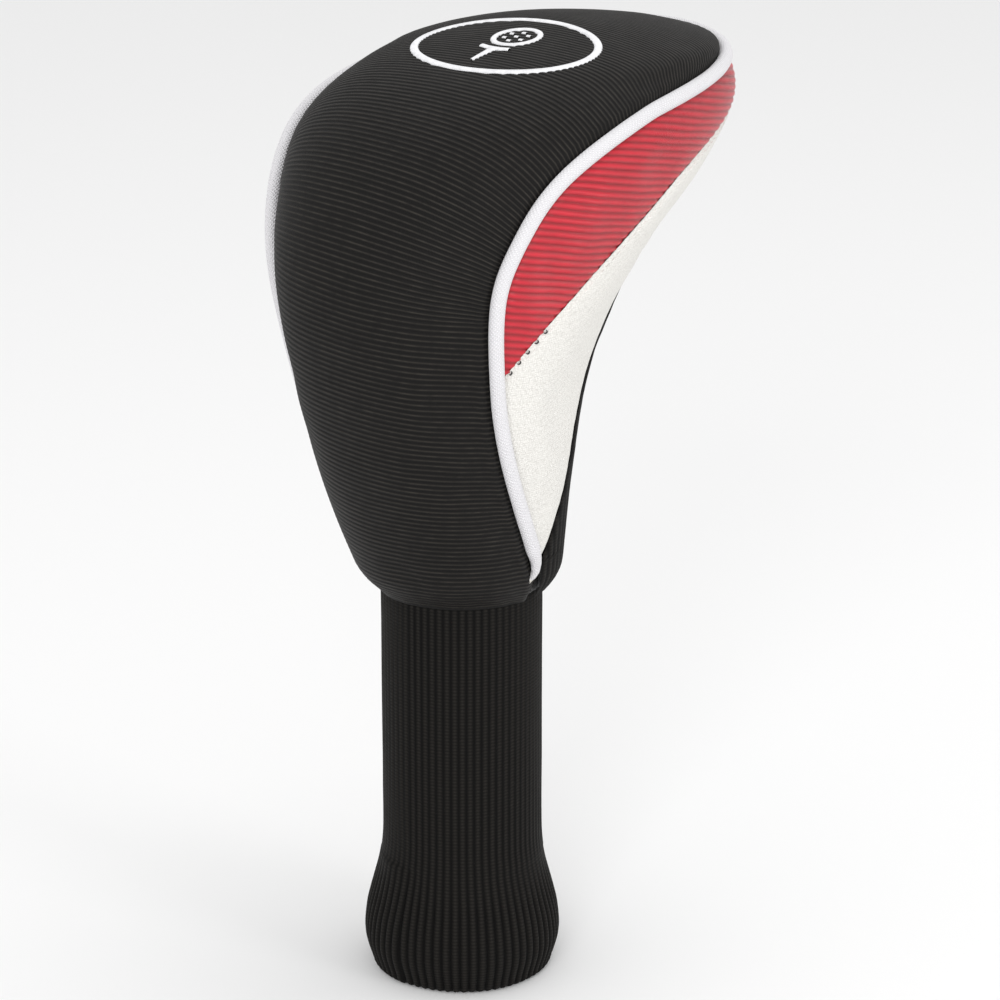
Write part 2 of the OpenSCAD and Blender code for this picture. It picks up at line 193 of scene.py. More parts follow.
# Planes across the hood. Each family gives, for a level q, a centre inside the hood and a forward
# direction; a point in the plane is at an angle from forward, and +X is 90 degrees.

PIVOT_Z = 256.0
PIVOT_Y = float(at_height("waist", PIVOT_Z))
FAN_R = 90.0
RIB_SLANT = 0.085
SLANT_FULL_AT = 55.0


def slant(q):
    """How much the ribs fall from the left to the right: not at all at the hem, and more above it."""
    return RIB_SLANT * np.clip((q - HEM_Z) / SLANT_FULL_AT, 0, 1) ** 1.5


def crown_planes(q):
    """Nearly level planes up to the pivot, and above it a fan of planes that turns over the top."""
    z = np.minimum(q, PIVOT_Z)
    turn = np.maximum(0, q - PIVOT_Z) / FAN_R
    centre = np.stack([0 * z, at_height("waist", z), z], -1)
    return centre, np.stack([0 * z, -np.cos(turn), np.sin(turn)], -1), slant(q)


def crown_place(p):
    """The crown plane that each point lies in, and its angle there."""
    x, y = p[..., 0], p[..., 1]
    q = z = p[..., 2]
    for _ in range(5):
        z = p[..., 2] + slant(q) * x
        turn = np.maximum(np.arctan2(z - PIVOT_Z, PIVOT_Y - y), 0)
        q = np.where(z < PIVOT_Z, z, PIVOT_Z + turn * FAN_R)
    forward = np.where(z < PIVOT_Z, at_height("waist", z) - y, np.hypot(z - PIVOT_Z, PIVOT_Y - y))
    return q, np.arctan2(x * np.sqrt(1 + slant(q) ** 2), forward)


def level_planes(tilt):
    """Planes that all fall towards the back by the same angle, and the matching place function."""
    rise, fall = math.cos(tilt), math.sin(tilt)

    def planes(q):
        y = at_height("waist", q)
        for _ in range(6):
            y = at_height("waist", (q - y * fall) / rise)
        centre = np.stack([0 * q, y, (q - y * fall) / rise], -1)
        return centre, np.broadcast_to(np.array([0, -rise, fall]), centre.shape), 0 * q

    def place(p):
        q = p[..., 2] * rise + p[..., 1] * fall
        centre, forward, _ = planes(q)
        return q, np.arctan2(p[..., 0], ((p - centre) * forward).sum(-1))

    return planes, place


def rows_of(planes, levels, low_angle, high_angle, cols):
    """A net of points on the hood: one row in each plane, between two angles."""
    share = np.linspace(0, 1, cols + 1)
    angle = low_angle[:, None] * (1 - share) + high_angle[:, None] * share
    centre, forward, fall = planes(levels)
    across = np.stack([1 + 0 * fall, 0 * fall, -fall], -1) / np.sqrt(1 + fall**2)[:, None]
    ray = np.sin(angle)[..., None] * across[:, None] + np.cos(angle)[..., None] * forward[:, None]
    return cast(centre[:, None, :] + 0 * ray, ray)


def net_normals(net):
    """Outward normals of a net whose rows go up and whose columns go to +X at the front."""
    up = np.gradient(net, axis=0)
    along = np.gradient(net, axis=1)
    n = np.cross(along, up)
    return n / np.maximum(np.linalg.norm(n, axis=-1, keepdims=True), 1e-9)


def surface_normal(u, v):
    up = hood(np.minimum(u + 0.002, 1), v) - hood(np.maximum(u - 0.002, 0), v)
    along = hood(u, v + 0.5) - hood(u, v - 0.5)
    n = np.cross(along, up)
    return n / np.linalg.norm(n, axis=-1, keepdims=True)


def on_path(path, share):
    """[u, v] points along a seam, which runs on smoothly across the centre line at its end."""
    return spline(path, share, np.array([path[-2][0], 360 - path[-2][1]]))


class Seam:
    """A seam on the right side: its points, normals, running direction and sideways direction."""

    def __init__(self, path, start=0.0, end=1.0, count=600):
        uv = on_path(path, np.linspace(start, end, count))
        self.points = hood(uv[:, 0], uv[:, 1])
        self.normals = surface_normal(uv[:, 0], uv[:, 1])
        run = np.gradient(self.points, axis=0)
        self.run = run / np.linalg.norm(run, axis=-1, keepdims=True)
        self.side = np.cross(self.run, self.normals)

    def shifted(self, shift):
        """The seam moved sideways over the fabric; a positive shift goes towards the back."""
        return self.points + self.side * shift


piping_seam = Seam(PIPING)
side_seam = Seam(SIDE_SEAM)
gusset_seam = Seam(GUSSET)


def mirrored(points):
    return points * np.array([-1.0, 1, 1])


def folded(points):
    """Points on the left moved to the same places on the right."""
    return np.stack([np.abs(points[..., 0]), points[..., 1], points[..., 2]], -1)


def distance_along(line):
    """How far each point of a line is from its start."""
    return np.concatenate([[0], np.cumsum(np.linalg.norm(np.diff(line, axis=0), axis=1))])


def edge_angles(place, points, levels):
    """The angle at which an edge crosses each plane."""
    q, angle = place(points)
    order = np.argsort(q)
    return np.interp(levels, q[order], angle[order])


class Distance:
    """Distance from a line of points, and how far along it the nearest one is."""

    def __init__(self, points):
        self.points = points
        self.along = distance_along(points)
        self.tree = KDTree(len(points))
        for i, p in enumerate(points):
            self.tree.insert(p, i)
        self.tree.balance()

    def __call__(self, net):
        found = [self.tree.find(p) for p in net.reshape(-1, 3)]
        far = np.array([f[2] for f in found]).reshape(net.shape[:-1])
        where = self.along[[f[1] for f in found]].reshape(net.shape[:-1])
        return far, where


from_piping = Distance(piping_seam.points)
from_side_seam = Distance(side_seam.points)
from_gusset = Distance(gusset_seam.points)
PIPING_LENGTH = from_piping.along[-1]


def drawn_in(far, along, reach):
    """How far the fabric round the left seam is pulled in, at a distance from the seam."""
    share = along / PIPING_LENGTH
    rise = np.clip((share - DRAWN_START) / DRAWN_RISE, 0, 1)
    middle = rise * np.clip((DRAWN_END - share) / DRAWN_FALL, 0, 1)
    return -LEFT_SINK * middle**2 * (3 - 2 * middle) * np.exp(-((far / reach) ** 2))


def waves(x, y, seed, octaves=4):
    """Smooth unevenness between about -1 and 1, the same in every run."""
    rng = np.random.default_rng(seed)
    total = np.zeros(np.broadcast(x, y).shape)
    for k in range(octaves):
        for _ in range(3):
            angle, phase = rng.uniform(0, 2 * math.pi, 2)
            scale = 2.0**k * rng.uniform(0.8, 1.25)
            total += np.sin((x * math.cos(angle) + y * math.sin(angle)) * scale + phase) / 2.0**k
    return total / 4


# The cloth trials' sizes in rows and columns, their length in frames, and how much larger than the
# panel the cloth is cut
CROWN_TRIAL = (84, 40)
SIDE_TRIAL = (40, 24)
TRIAL_FRAMES = 22
CUT_LARGER = 0.004


def puff(net, normals, rows, cols, cap, pressure=4.0):
    """How far the padding pushes each point of a panel out. A coarser copy of the panel is cloth that
    is pinned along its seams, cut slightly large and blown up from inside."""
    r = np.linspace(0, len(net) - 1, rows).round().astype(int)
    c = np.linspace(0, net.shape[1] - 1, cols).round().astype(int)
    coarse, out = net[np.ix_(r, c)], normals[np.ix_(r, c)]
    moved = simulated(coarse, pressure)
    push = ((moved - coarse) * out).sum(-1)
    push = cap * np.tanh(push / cap)
    for _ in range(2):
        push[1:-1, 1:-1] = (2 * push[1:-1, 1:-1] + push[:-2, 1:-1] + push[2:, 1:-1]
                            + push[1:-1, :-2] + push[1:-1, 2:]) / 6
    shares = np.linspace(0, 1, len(net)), np.linspace(0, 1, net.shape[1])
    return spline(spline(push, shares[0]).T, shares[1]).T


def simulated(net, pressure):
    """Where the points of a net come to rest as cloth, with its border pinned."""
    scene = bpy.context.scene
    rows, cols = net.shape[:2]
    obj = mesh_piece("cloth_trial", net.reshape(-1, 3), net_faces(rows, cols))
    index = np.arange(rows * cols).reshape(rows, cols)
    border = np.concatenate([index[0], index[-1], index[:, 0], index[:, -1]])
    obj.vertex_groups.new(name="pinned").add(sorted(set(border.tolist())), 1.0, "REPLACE")
    settings = obj.modifiers.new("cloth", "CLOTH").settings
    settings.quality = 6
    settings.mass = 0.15
    settings.tension_stiffness = settings.compression_stiffness = 20
    settings.shear_stiffness = 8
    settings.bending_stiffness = 2
    settings.shrink_min = -CUT_LARGER
    settings.use_pressure = True
    settings.uniform_pressure_force = pressure
    settings.vertex_group_mass = "pinned"
    settings.effector_weights.gravity = 0
    for step in range(1, TRIAL_FRAMES + 1):
        scene.frame_set(step)
    mesh = obj.evaluated_get(bpy.context.evaluated_depsgraph_get()).data
    points = np.empty(rows * cols * 3)
    mesh.vertices.foreach_get("co", points)
    scene.frame_set(1)
    bpy.data.objects.remove(obj)
    return points.reshape(rows, cols, 3) / MM


def seam_roll(far, depth=1.7, reach=5.0):
    """How deep the fabric dips beside a seam, as it rolls over the padding into the stitches."""
    near = np.clip(1 - far / reach, 0, 1)
    return -depth * (1 - np.sqrt(np.clip(1 - near**2, 0, 1)))


def pucker(far, along, height, reach, seed):
    """Small gathers that run away from a seam."""
    pulls = waves(along * 0.9, 0 * along, seed, 3)
    return height * pulls * np.exp(-far / reach)


# ---- meshes

def mesh_piece(name, points, faces, uv=None, wrap=None):
    """A new object from points in millimetres. uv is per point, in millimetres too, and on a closed
    tube it starts again after wrap millimetres."""
    mesh = bpy.data.meshes.new(name)
    mesh.from_pydata((np.asarray(points, float) * MM).tolist(), [], [list(map(int, f)) for f in faces])
    if uv is not None:
        layer = mesh.uv_layers.new(name="cloth")
        index = np.empty(len(mesh.loops), int)
        mesh.loops.foreach_get("vertex_index", index)
        per_corner = np.asarray(uv, float)[index]
        if wrap:
            corners = per_corner[: len(per_corner) // 4 * 4, 0].reshape(-1, 4)
            split = np.ptp(corners, axis=1, keepdims=True) > wrap / 2
            corners += wrap * (split & (corners < wrap / 2))
        layer.data.foreach_set("uv", (per_corner * MM).astype(np.float32).ravel())
    mesh.polygons.foreach_set("use_smooth", [True] * len(mesh.polygons))
    mesh.update()
    obj = bpy.data.objects.new(name, mesh)
    bpy.context.scene.collection.objects.link(obj)
    return obj


def net_faces(rows, cols, closed=False, flip=False):
    """Quads of a net with that many rows and columns of points."""
    r = np.arange(rows - 1)[:, None]
    c = np.arange(cols if closed else cols - 1)[None, :]
    nxt = (c + 1) % cols
    low, high = r * cols, (r + 1) * cols
    quads = np.stack([low + c, low + nxt, high + nxt, high + c], -1).reshape(-1, 4)
    return quads[:, ::-1] if flip else quads


def net_uv(net):
    """Millimetres along the columns from the middle, and up the rows."""
    steps = np.linalg.norm(np.diff(net, axis=1), axis=2)
    across = np.concatenate([np.zeros((len(net), 1)), np.cumsum(steps, 1)], 1)
    across -= across[:, across.shape[1] // 2][:, None]
    middle = net[:, net.shape[1] // 2]
    up = distance_along(middle)
    return np.stack([across, np.broadcast_to(up[:, None], across.shape)], -1)


def net_piece(name, net, uv=None, closed=False, flip=False, wrap=None):
    uv = net_uv(net) if uv is None else uv
    faces = net_faces(*net.shape[:2], closed, flip)
    return mesh_piece(name, net.reshape(-1, 3), faces, uv.reshape(-1, 2), wrap=wrap)


def finish_piece(obj, body, slot, material, *nodes):
    obj.data.materials.clear()
    obj.data.materials.append(material)
    if nodes:
        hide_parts(*nodes)
    if body:
        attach(obj, body)
    return obj


def tube_net(centres, ups, sides, radius, wide=1.0):
    """Rings round a line of points; radius may vary per ring and wide stretches them sideways."""
    run = np.gradient(centres, axis=0)
    run /= np.linalg.norm(run, axis=1, keepdims=True)
    side = np.cross(run, ups)
    side /= np.linalg.norm(side, axis=1, keepdims=True)
    up = np.cross(side, run)
    angle = np.linspace(math.pi, 3 * math.pi, sides, endpoint=False)
    radius = np.broadcast_to(radius, (len(centres), sides))[..., None]
    cos, sin = np.cos(angle)[None, :, None], np.sin(angle)[None, :, None]
    return centres[:, None] + radius * (cos * up[:, None] + wide * sin * side[:, None])


def capped(name, net, uv, wrap):
    """A tube of rings, closed at both ends."""
    rows, cols = net.shape[:2]
    ends = [net[0].mean(0), net[-1].mean(0)]
    points = np.concatenate([net.reshape(-1, 3), ends])
    uvs = np.concatenate([uv.reshape(-1, 2), uv[0, :1], uv[-1, :1]])
    faces = [list(f) for f in net_faces(rows, cols, True)]
    n = rows * cols
    faces += [[(c + 1) % cols, c, n] for c in range(cols)]
    faces += [[n - cols + c, n - cols + (c + 1) % cols, n + 1] for c in range(cols)]
    return mesh_piece(name, points, faces, uvs, wrap=wrap)


# ---- materials

class Shader:
    """A material with a Principled shader, and short ways to add nodes to it."""

    def __init__(self, name, roughness, sheen=0.0, specular=0.5):
        self.material = bpy.data.materials.new(name)
        self.material.use_nodes = True
        self.nodes = self.material.node_tree.nodes
        self.links = self.material.node_tree.links
        self.shader = self.nodes["Principled BSDF"]
        self.shader.inputs["Roughness"].default_value = roughness
        self.shader.inputs["Sheen Weight"].default_value = sheen
        self.shader.inputs["Sheen Roughness"].default_value = 0.4
        self.shader.inputs["Specular IOR Level"].default_value = specular

    def node(self, kind, **values):
        node = self.nodes.new(kind)
        for key, value in values.items():
            if hasattr(node, key):
                setattr(node, key, value)
            else:
                node.inputs[key.replace("_", " ")].default_value = value
        return node

    def wire(self, output, to):
        self.links.new(output, to)

    def uv(self, scale=(1, 1, 1), turn=0.0):
        source = self.node("ShaderNodeUVMap", uv_map="cloth")
        mapping = self.node("ShaderNodeMapping")
        mapping.inputs["Scale"].default_value = scale
        mapping.inputs["Rotation"].default_value = (0, 0, turn)
        self.wire(source.outputs["UV"], mapping.inputs["Vector"])
        return mapping.outputs["Vector"]

    def place(self):
        return self.node("ShaderNodeTexCoord").outputs["Object"]

    def noise(self, vector, scale, detail=2.0, roughness=0.5):
        node = self.node("ShaderNodeTexNoise", Scale=scale, Detail=detail, Roughness=roughness)
        self.wire(vector, node.inputs["Vector"])
        return node.outputs["Fac"]

    def lines(self, vector, scale, direction="X", distortion=0.0):
        settings = {"bands_direction": direction, "Scale": scale, "Distortion": distortion}
        node = self.node("ShaderNodeTexWave", **settings)
        self.wire(vector, node.inputs["Vector"])
        return node.outputs["Fac"]

    def math(self, operation, a, b):
        node = self.node("ShaderNodeMath", operation=operation)
        for socket, value in zip(node.inputs, (a, b)):
            if isinstance(value, (int, float)):
                socket.default_value = value
            else:
                self.wire(value, socket)
        return node.outputs[0]

    def ramp(self, fac, stops):
        node = self.node("ShaderNodeValToRGB")
        ramp = node.color_ramp
        while len(ramp.elements) < len(stops):
            ramp.elements.new(0.5)
        for element, (position, colour) in zip(ramp.elements, stops):
            element.position = position
            element.color = (*colour, 1)
        self.wire(fac, node.inputs["Fac"])
        return node.outputs["Color"]

    def colour(self, output):
        self.wire(output, self.shader.inputs["Base Color"])

    def bump(self, height, distance, strength=1.0):
        node = self.node("ShaderNodeBump", Strength=strength, Distance=distance)
        self.wire(height, node.inputs["Height"])
        last = self.shader.inputs["Normal"]
        if last.links:
            self.wire(last.links[0].from_socket, node.inputs["Normal"])
        self.wire(node.outputs["Normal"], last)


def wave_scale(pitch_mm):
    """The Wave texture's scale that puts its lines that many millimetres apart."""
    return math.pi / 10 / (pitch_mm * MM)


def ottoman_material():
    """Black cross-ribbed weave: the ribs are in the mesh, and the yarns across them are here. The colour
    paints a highlight on each rib's crest, stronger in some places than others.
    """
    s = Shader("black_ottoman", 0.55, specular=0.16)
    rib = s.lines(s.uv(), wave_scale(RIB_PITCH), "Y")
    yarn = s.lines(s.uv(), wave_scale(0.5), "X", 0.4)
    # Painted highlight: the rib crests are coloured lighter than the black between them, by an amount that
    # a noise varies at random.
    mottle = s.noise(s.place(), 260, 3)
    rib_highlight_strength = s.math("ADD", s.math("MULTIPLY", mottle, 1.3), -0.1)
    crest_highlight = s.math("MULTIPLY", s.math("POWER", rib, 5.0), rib_highlight_strength)
    s.colour(s.ramp(crest_highlight, [(0.0, (0.0035, 0.003, 0.0028)), (0.8, (0.034, 0.030, 0.025))]))
    s.bump(yarn, 0.00008, 0.5)
    s.bump(s.noise(s.place(), 2600, 2), 0.00006, 0.5)
    return s.material


def red_material():
    """Red satin-faced rib: glossy floats lie along each rib. The colour paints a highlight on each rib's
    crest and shade in the valleys between, stronger in some places than others.
    """
    s = Shader("red_satin_rib", 0.3)
    rib = s.lines(s.uv(), wave_scale(RED_PITCH), "Y")
    yarn = s.lines(s.uv(), wave_scale(0.5), "X", 0.8)
    # Painted highlight and shade: each rib is coloured brighter at its crest and darker in the valleys, by
    # an amount that a noise varies at random.
    mottle = s.noise(s.place(), 170, 3)
    satin_highlight_strength = s.math("ADD", s.math("MULTIPLY", mottle, 0.7), 0.5)
    fac = s.math("MULTIPLY", s.math("POWER", rib, 0.8), satin_highlight_strength)
    s.colour(s.ramp(fac, [(0.0, (0.27, 0.002, 0.009)), (0.9, (0.58, 0.008, 0.026))]))
    s.bump(yarn, 0.0001, 0.6)
    s.bump(s.noise(s.place(), 2200, 2), 0.00008, 0.5)
    return s.material


def pique_material():
    """White pique: a fine pebbled knit, with painted shade in the hollows between its pebbles."""
    s = Shader("white_pique", 0.8, sheen=0.05, specular=0.25)
    cell = s.node("ShaderNodeTexVoronoi", Scale=1250.0, Randomness=0.5)
    s.wire(s.place(), cell.inputs["Vector"])
    # Painted shade: each pebble is coloured darker towards its edges, where the bump sinks.
    s.colour(s.ramp(cell.outputs["Distance"], [(0.1, (0.86, 0.845, 0.81)), (0.8, (0.66, 0.645, 0.61))]))
    s.bump(s.math("MULTIPLY", cell.outputs["Distance"], -1.0), 0.0004, 0.9)
    return s.material


def tape_material():
    """White bias tape: fine slanted twill, with painted shade in the grooves of the weave."""
    s = Shader("piping_tape", 0.62, sheen=0.05, specular=0.3)
    twill = s.lines(s.uv(turn=math.radians(38)), wave_scale(0.75), "X", 0.5)
    cross = s.lines(s.uv(turn=math.radians(-52)), wave_scale(1.1), "X", 0.5)
    weave = s.math("MULTIPLY", twill, cross)
    # Painted shade: the weave is coloured darker where its bump sinks.
    s.colour(s.ramp(weave, [(0.0, (0.68, 0.67, 0.69)), (0.6, (0.88, 0.87, 0.89))]))
    s.bump(weave, 0.0003, 0.9)
    return s.material


def knit_material():
    """Black rib knit: a column of small stitches on every rib. The colour paints a highlight on the ribs
    and their stitch loops, and shade in the gaps between ribs.
    """
    s = Shader("black_rib_knit", 0.8, sheen=0.02, specular=0.12)
    rib = s.lines(s.uv(), wave_scale(2 * math.pi * SOCK_R / SOCK_RIBS), "X")
    stitch = s.lines(s.uv(), wave_scale(1.2), "Y", 1.0)
    fuzz = s.noise(s.place(), 900, 4, 0.7)
    # Painted highlight and shade: the ribs and stitch loops are coloured lighter and the gaps between them
    # darker; the fuzz noise also varies the tone at random.
    loops = s.math("ADD", s.math("MULTIPLY", s.math("MULTIPLY", stitch, fuzz), 0.9), 0.35)
    fac = s.math("MULTIPLY", rib, loops)
    s.colour(s.ramp(fac, [(0.0, (0.0016, 0.0014, 0.0013)), (0.8, (0.0165, 0.0148, 0.013))]))
    s.bump(stitch, 0.00012, 0.5)
    s.bump(fuzz, 0.00012, 0.5)
    return s.material


def thread_material(name, dark, light, roughness=0.45):
    """Sewing or embroidery thread."""
    s = Shader(name, roughness, sheen=0.1, specular=0.4)
    s.colour(s.ramp(s.noise(s.place(), 500, 3), [(0.3, dark), (0.7, light)]))
    s.bump(s.noise(s.place(), 3500, 2), 0.00005, 0.6)
    return s.material


def soft_material(name, dark, light, grain, roughness=0.9):
    """Foam, fleece, cord or elastic, which hardly show."""
    s = Shader(name, roughness, sheen=0.15, specular=0.2)
    fuzz = s.noise(s.place(), grain, 4, 0.7)
    s.colour(s.ramp(fuzz, [(0.3, dark), (0.7, light)]))
    s.bump(fuzz, 0.0004, 0.7)
    return s.material


RIB_PITCH = 1.95
RED_PITCH = 2.35
SOCK_RIBS = 66

black_ottoman = ottoman_material()
red_satin = red_material()
white_pique = pique_material()
piping_tape = tape_material()
rib_knit = knit_material()
embroidery = thread_material("embroidery", (0.74, 0.74, 0.76), (0.9, 0.9, 0.92), 0.38)
seam_thread = thread_material("stitch_thread", (0.74, 0.73, 0.7), (0.86, 0.85, 0.82))
dark_thread = thread_material("dark_thread", (0.01, 0.01, 0.01), (0.03, 0.03, 0.03))
foam = soft_material("foam", (0.55, 0.5, 0.36), (0.68, 0.62, 0.46), 700)
fleece = soft_material("fleece", (0.03, 0.03, 0.032), (0.07, 0.07, 0.072), 450)
elastic = soft_material("elastic", (0.12, 0.12, 0.12), (0.22, 0.22, 0.22), 900)
cotton = soft_material("cotton_cord", (0.6, 0.57, 0.5), (0.75, 0.72, 0.66), 900)


# ---- crown panel

RIB_STEPS = 6
CROWN_RIB_H = 0.3
CROWN_CAP = 1.2

# How far the panels' edges stop short of the middle of the piping
EDGE_IN = PIPING_R * 0.6
LEFT_EDGE_IN = 0.3

# How far each panel sits below the hood's outer face
CROWN_SET_IN = 0.7
RED_SET_IN = 0.6
WHITE_SET_IN = 0.4

# How deep the cloth dips beside each seam, and how far from the seam the dip reaches
CROWN_ROLL = (2.4, 8.0)
PIPING_ROLL = (2.2, 6.0)
SIDE_ROLL = (1.0, 4.0)
GUSSET_ROLL = (0.8, 3.0)
GUSSET_EDGE_ROLL = (0.9, 3.0)

# The crown's low welt beside the piping: its height, distance from the seam and width
WELT_H, WELT_FROM_SEAM, WELT_W = 0.6, 5.0, 2.0

# The crown's gathers along its hem: their height and how far up they reach
GATHER_H, GATHER_REACH = 0.4, 16.0

# Added to the distance along the left seam, so that its gathers differ from the right one's
OTHER_SIDE = 400.0


def ribs(length, pitch, height):
    """Round-backed ribs with narrow valleys between them."""
    return height * (np.abs(np.sin(math.pi * length / pitch)) ** 0.7 - 0.6)


def crown_levels():
    """Plane levels evenly spaced along the crown's centre line, and the distance along it."""
    end = float(crown_place(piping_seam.shifted(-EDGE_IN)[-1])[0])
    q = np.linspace(HEM_Z - 0.5, end - 0.01, 1500)
    centre, forward, _ = crown_planes(q)
    line = cast(centre, forward)
    along = distance_along(line)
    steps = np.arange(0, along[-1], RIB_PITCH / RIB_STEPS)
    return np.interp(steps, along, q), steps


def crown_panel():
    """The crown's cloth, and the smooth form under its ribs as a tree to cast rays on."""
    levels, along = crown_levels()
    left = edge_angles(crown_place, mirrored(piping_seam.shifted(-LEFT_EDGE_IN)), levels)
    right = edge_angles(crown_place, piping_seam.shifted(-EDGE_IN), levels)
    net = rows_of(crown_planes, levels, left, right, 76)
    normals = net_normals(net)
    uv = net_uv(net)
    on_left = net[..., 0] < 0
    far, where = from_piping(folded(net))
    out = puff(net, normals, *CROWN_TRIAL, CROWN_CAP) - CROWN_SET_IN + seam_roll(far, *CROWN_ROLL)
    out += WELT_H * np.exp(-((far - WELT_FROM_SEAM) / WELT_W) ** 2)
    out += np.where(on_left, drawn_in(far, where, CROWN_REACH), 0)
    out += pucker(far, where + OTHER_SIDE * on_left, 0.16, 7, 11)
    out += 0.25 * waves(uv[..., 0] / 24, uv[..., 1] / 24, 5, 2)
    gather = np.clip(1 - along / GATHER_REACH, 0, 1)[:, None] ** 1.5
    out += GATHER_H * gather * waves(uv[..., 0] / 2.2, along[:, None] / 12, 12, 2)
    uv[..., 1] = along[:, None] + 0.14 * waves(uv[..., 0] / 9, along[:, None] / 9, 13)
    form = net + normals * out[..., None]
    net = form + normals * ribs(uv[..., 1], RIB_PITCH, CROWN_RIB_H)[..., None]
    obj = net_piece("crown_panel_cloth", net, uv)
    finish_piece(obj, "hood", "black_ottoman", black_ottoman, "crown_panel")
    form = form[::5, ::3]
    return BVHTree.FromPolygons(form.reshape(-1, 3).tolist(), net_faces(*form.shape[:2]).tolist())


# ---- side panels

RED_TILT = math.radians(12)
RED_RIB_H = 0.42
RED_CAP = 2.6
RED_LEFT_CAP = 6.5
WHITE_CAP = 1.4

# The blowing pressure of a red panel's cloth trial for each millimetre of its cap
PRESSURE_PER_MM = 1.6

# How far the red edge passes under the white one at the side seam, and the white over the red
RED_UNDER = 0.1
WHITE_OVER = 0.5


# A panel's seams: the distance from each, how the cloth rolls into it, and its gathers' height and reach
RED_SEAMS = ((from_piping, PIPING_ROLL, 0.16, 5), (from_side_seam, SIDE_ROLL, 0.12, 4))
WHITE_SEAMS = (
    (from_piping, PIPING_ROLL, 0.2, 6),
    (from_side_seam, SIDE_ROLL, 0.15, 4),
    (from_gusset, GUSSET_ROLL, 0.1, 5),
)


def beside_seams(side, net, seams, seed):
    """How the seams round a side panel move its cloth in and out."""
    out = np.zeros(net.shape[:2])
    for k, (distance, roll, height, reach) in enumerate(seams):
        far, where = distance(net)
        out += seam_roll(far, *roll) + pucker(far, where, height, reach, seed + k)
        if side == "left" and distance is from_piping:
            out += drawn_in(far, where, SIDE_REACH)
    return out


def side_piece(name, side, net, uv, slot, material):
    """The right side's net, or its mirror image on the left."""
    if side == "left":
        net = mirrored(net)
    obj = net_piece(f"{name}_{side}_cloth", net, uv, flip=side == "left")
    finish_piece(obj, "hood", slot, material, f"{name}_{side}")


def red_panel(side, seed):
    """A red panel, from the piping down to the side seam, with its ribs falling towards the back."""
    planes, place = level_planes(RED_TILT)
    top, bottom = piping_seam.shifted(EDGE_IN), side_seam.shifted(RED_UNDER)
    start = float(place(bottom)[0][5])
    end = float(place(top)[0][-1]) - 0.02
    levels = np.arange(start, end, RED_PITCH / RIB_STEPS)
    front = edge_angles(place, top, levels)
    seam_end = float(place(bottom)[0][-1])
    back = np.where(levels < seam_end, edge_angles(place, bottom, levels), math.pi)
    net = rows_of(planes, levels, front, np.maximum(back, front), 56)
    normals = net_normals(net)
    uv = net_uv(net)
    uv[..., 1] = levels[:, None] + 0.22 * waves(uv[..., 0] / 7, levels[:, None] / 7, seed + 3)
    cap = RED_CAP if side == "right" else RED_LEFT_CAP
    out = puff(net, normals, *SIDE_TRIAL, cap, PRESSURE_PER_MM * cap) - RED_SET_IN
    out += beside_seams(side, net, RED_SEAMS, seed)
    out += 0.2 * waves(uv[..., 0] / 18, uv[..., 1] / 18, seed + 2, 3)
    unevenness = 1 + 0.3 * waves(uv[..., 0] / 5, levels[:, None] / 2, seed + 4)
    out += ribs(uv[..., 1], RED_PITCH, RED_RIB_H) * unevenness
    side_piece("red_panel", side, net + normals * out[..., None], uv, "red_satin_rib", red_satin)


def white_panel(side, seed):
    """A white panel, from the side seam down to the gusset, with the piping along its front."""
    planes, place = level_planes(0.0)
    piping_edge = piping_seam.shifted(EDGE_IN)
    seam_edge = side_seam.shifted(-WHITE_OVER)
    gusset_edge = gusset_seam.shifted(-0.1)
    # The seams' first few points are under the piping, so the rows start a little way along them
    start = float(gusset_edge[8][2])
    junction = float(seam_edge[3][2])
    end = float(seam_edge[-1][2]) - 0.05
    gusset_end = float(gusset_edge[-1][2])
    levels = np.linspace(start, end, 190)
    low_front = edge_angles(place, piping_edge, levels)
    front = np.where(levels < junction, low_front, edge_angles(place, seam_edge, levels))
    back = np.where(levels < gusset_end, edge_angles(place, gusset_edge, levels), math.pi)
    net = rows_of(planes, levels, front, np.maximum(back, front), 90)
    normals = net_normals(net)
    uv = net_uv(net)
    out = puff(net, normals, *SIDE_TRIAL, WHITE_CAP) - WHITE_SET_IN
    out += beside_seams(side, net, WHITE_SEAMS, seed)
    out += 0.2 * waves(uv[..., 0] / 22, uv[..., 1] / 22, seed + 3, 2)
    side_piece("white_panel", side, net + normals * out[..., None], uv, "white_pique", white_pique)


# ---- gusset and sock

GUSSET_RIB_H = 0.45
SOCK_RIB_H = 0.95
LINING_RIB_H = 0.5

# The cuff's bell: its lowest and highest levels, and how far in from its widest it is on the way up
BELL_FROM_Z, BELL_Z = 2.4, 58.4
BELL_IN = (3.0, 0.4, 0.9, 3.1, 5.2)

# The fold under the cuff, and how far up the inner ply is drawn in one piece with it
FOLD_R = 3.0
FOLD_TOP_Z = 60.0

# The soft fold down the front of the sock: the height where it leans out most, and its two depths
DENT_Z = 98.0
DENT_DEPTH, DENT_RISE = 1.9, 1.6


def round_net(radius, angle, height):
    """Points round the sock's axis, at angles from the front."""
    return np.stack([radius * np.sin(angle), -radius * np.cos(angle), height + 0 * radius], -1)


def bend_with_neck(obj):
    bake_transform(obj)


def rib_knit_wave(angle, height):
    """Round ribs with narrow gaps between them; the gaps are where the angle is a whole rib."""
    return height * (np.abs(np.sin(angle * SOCK_RIBS / 2)) ** 0.8 - 0.5)


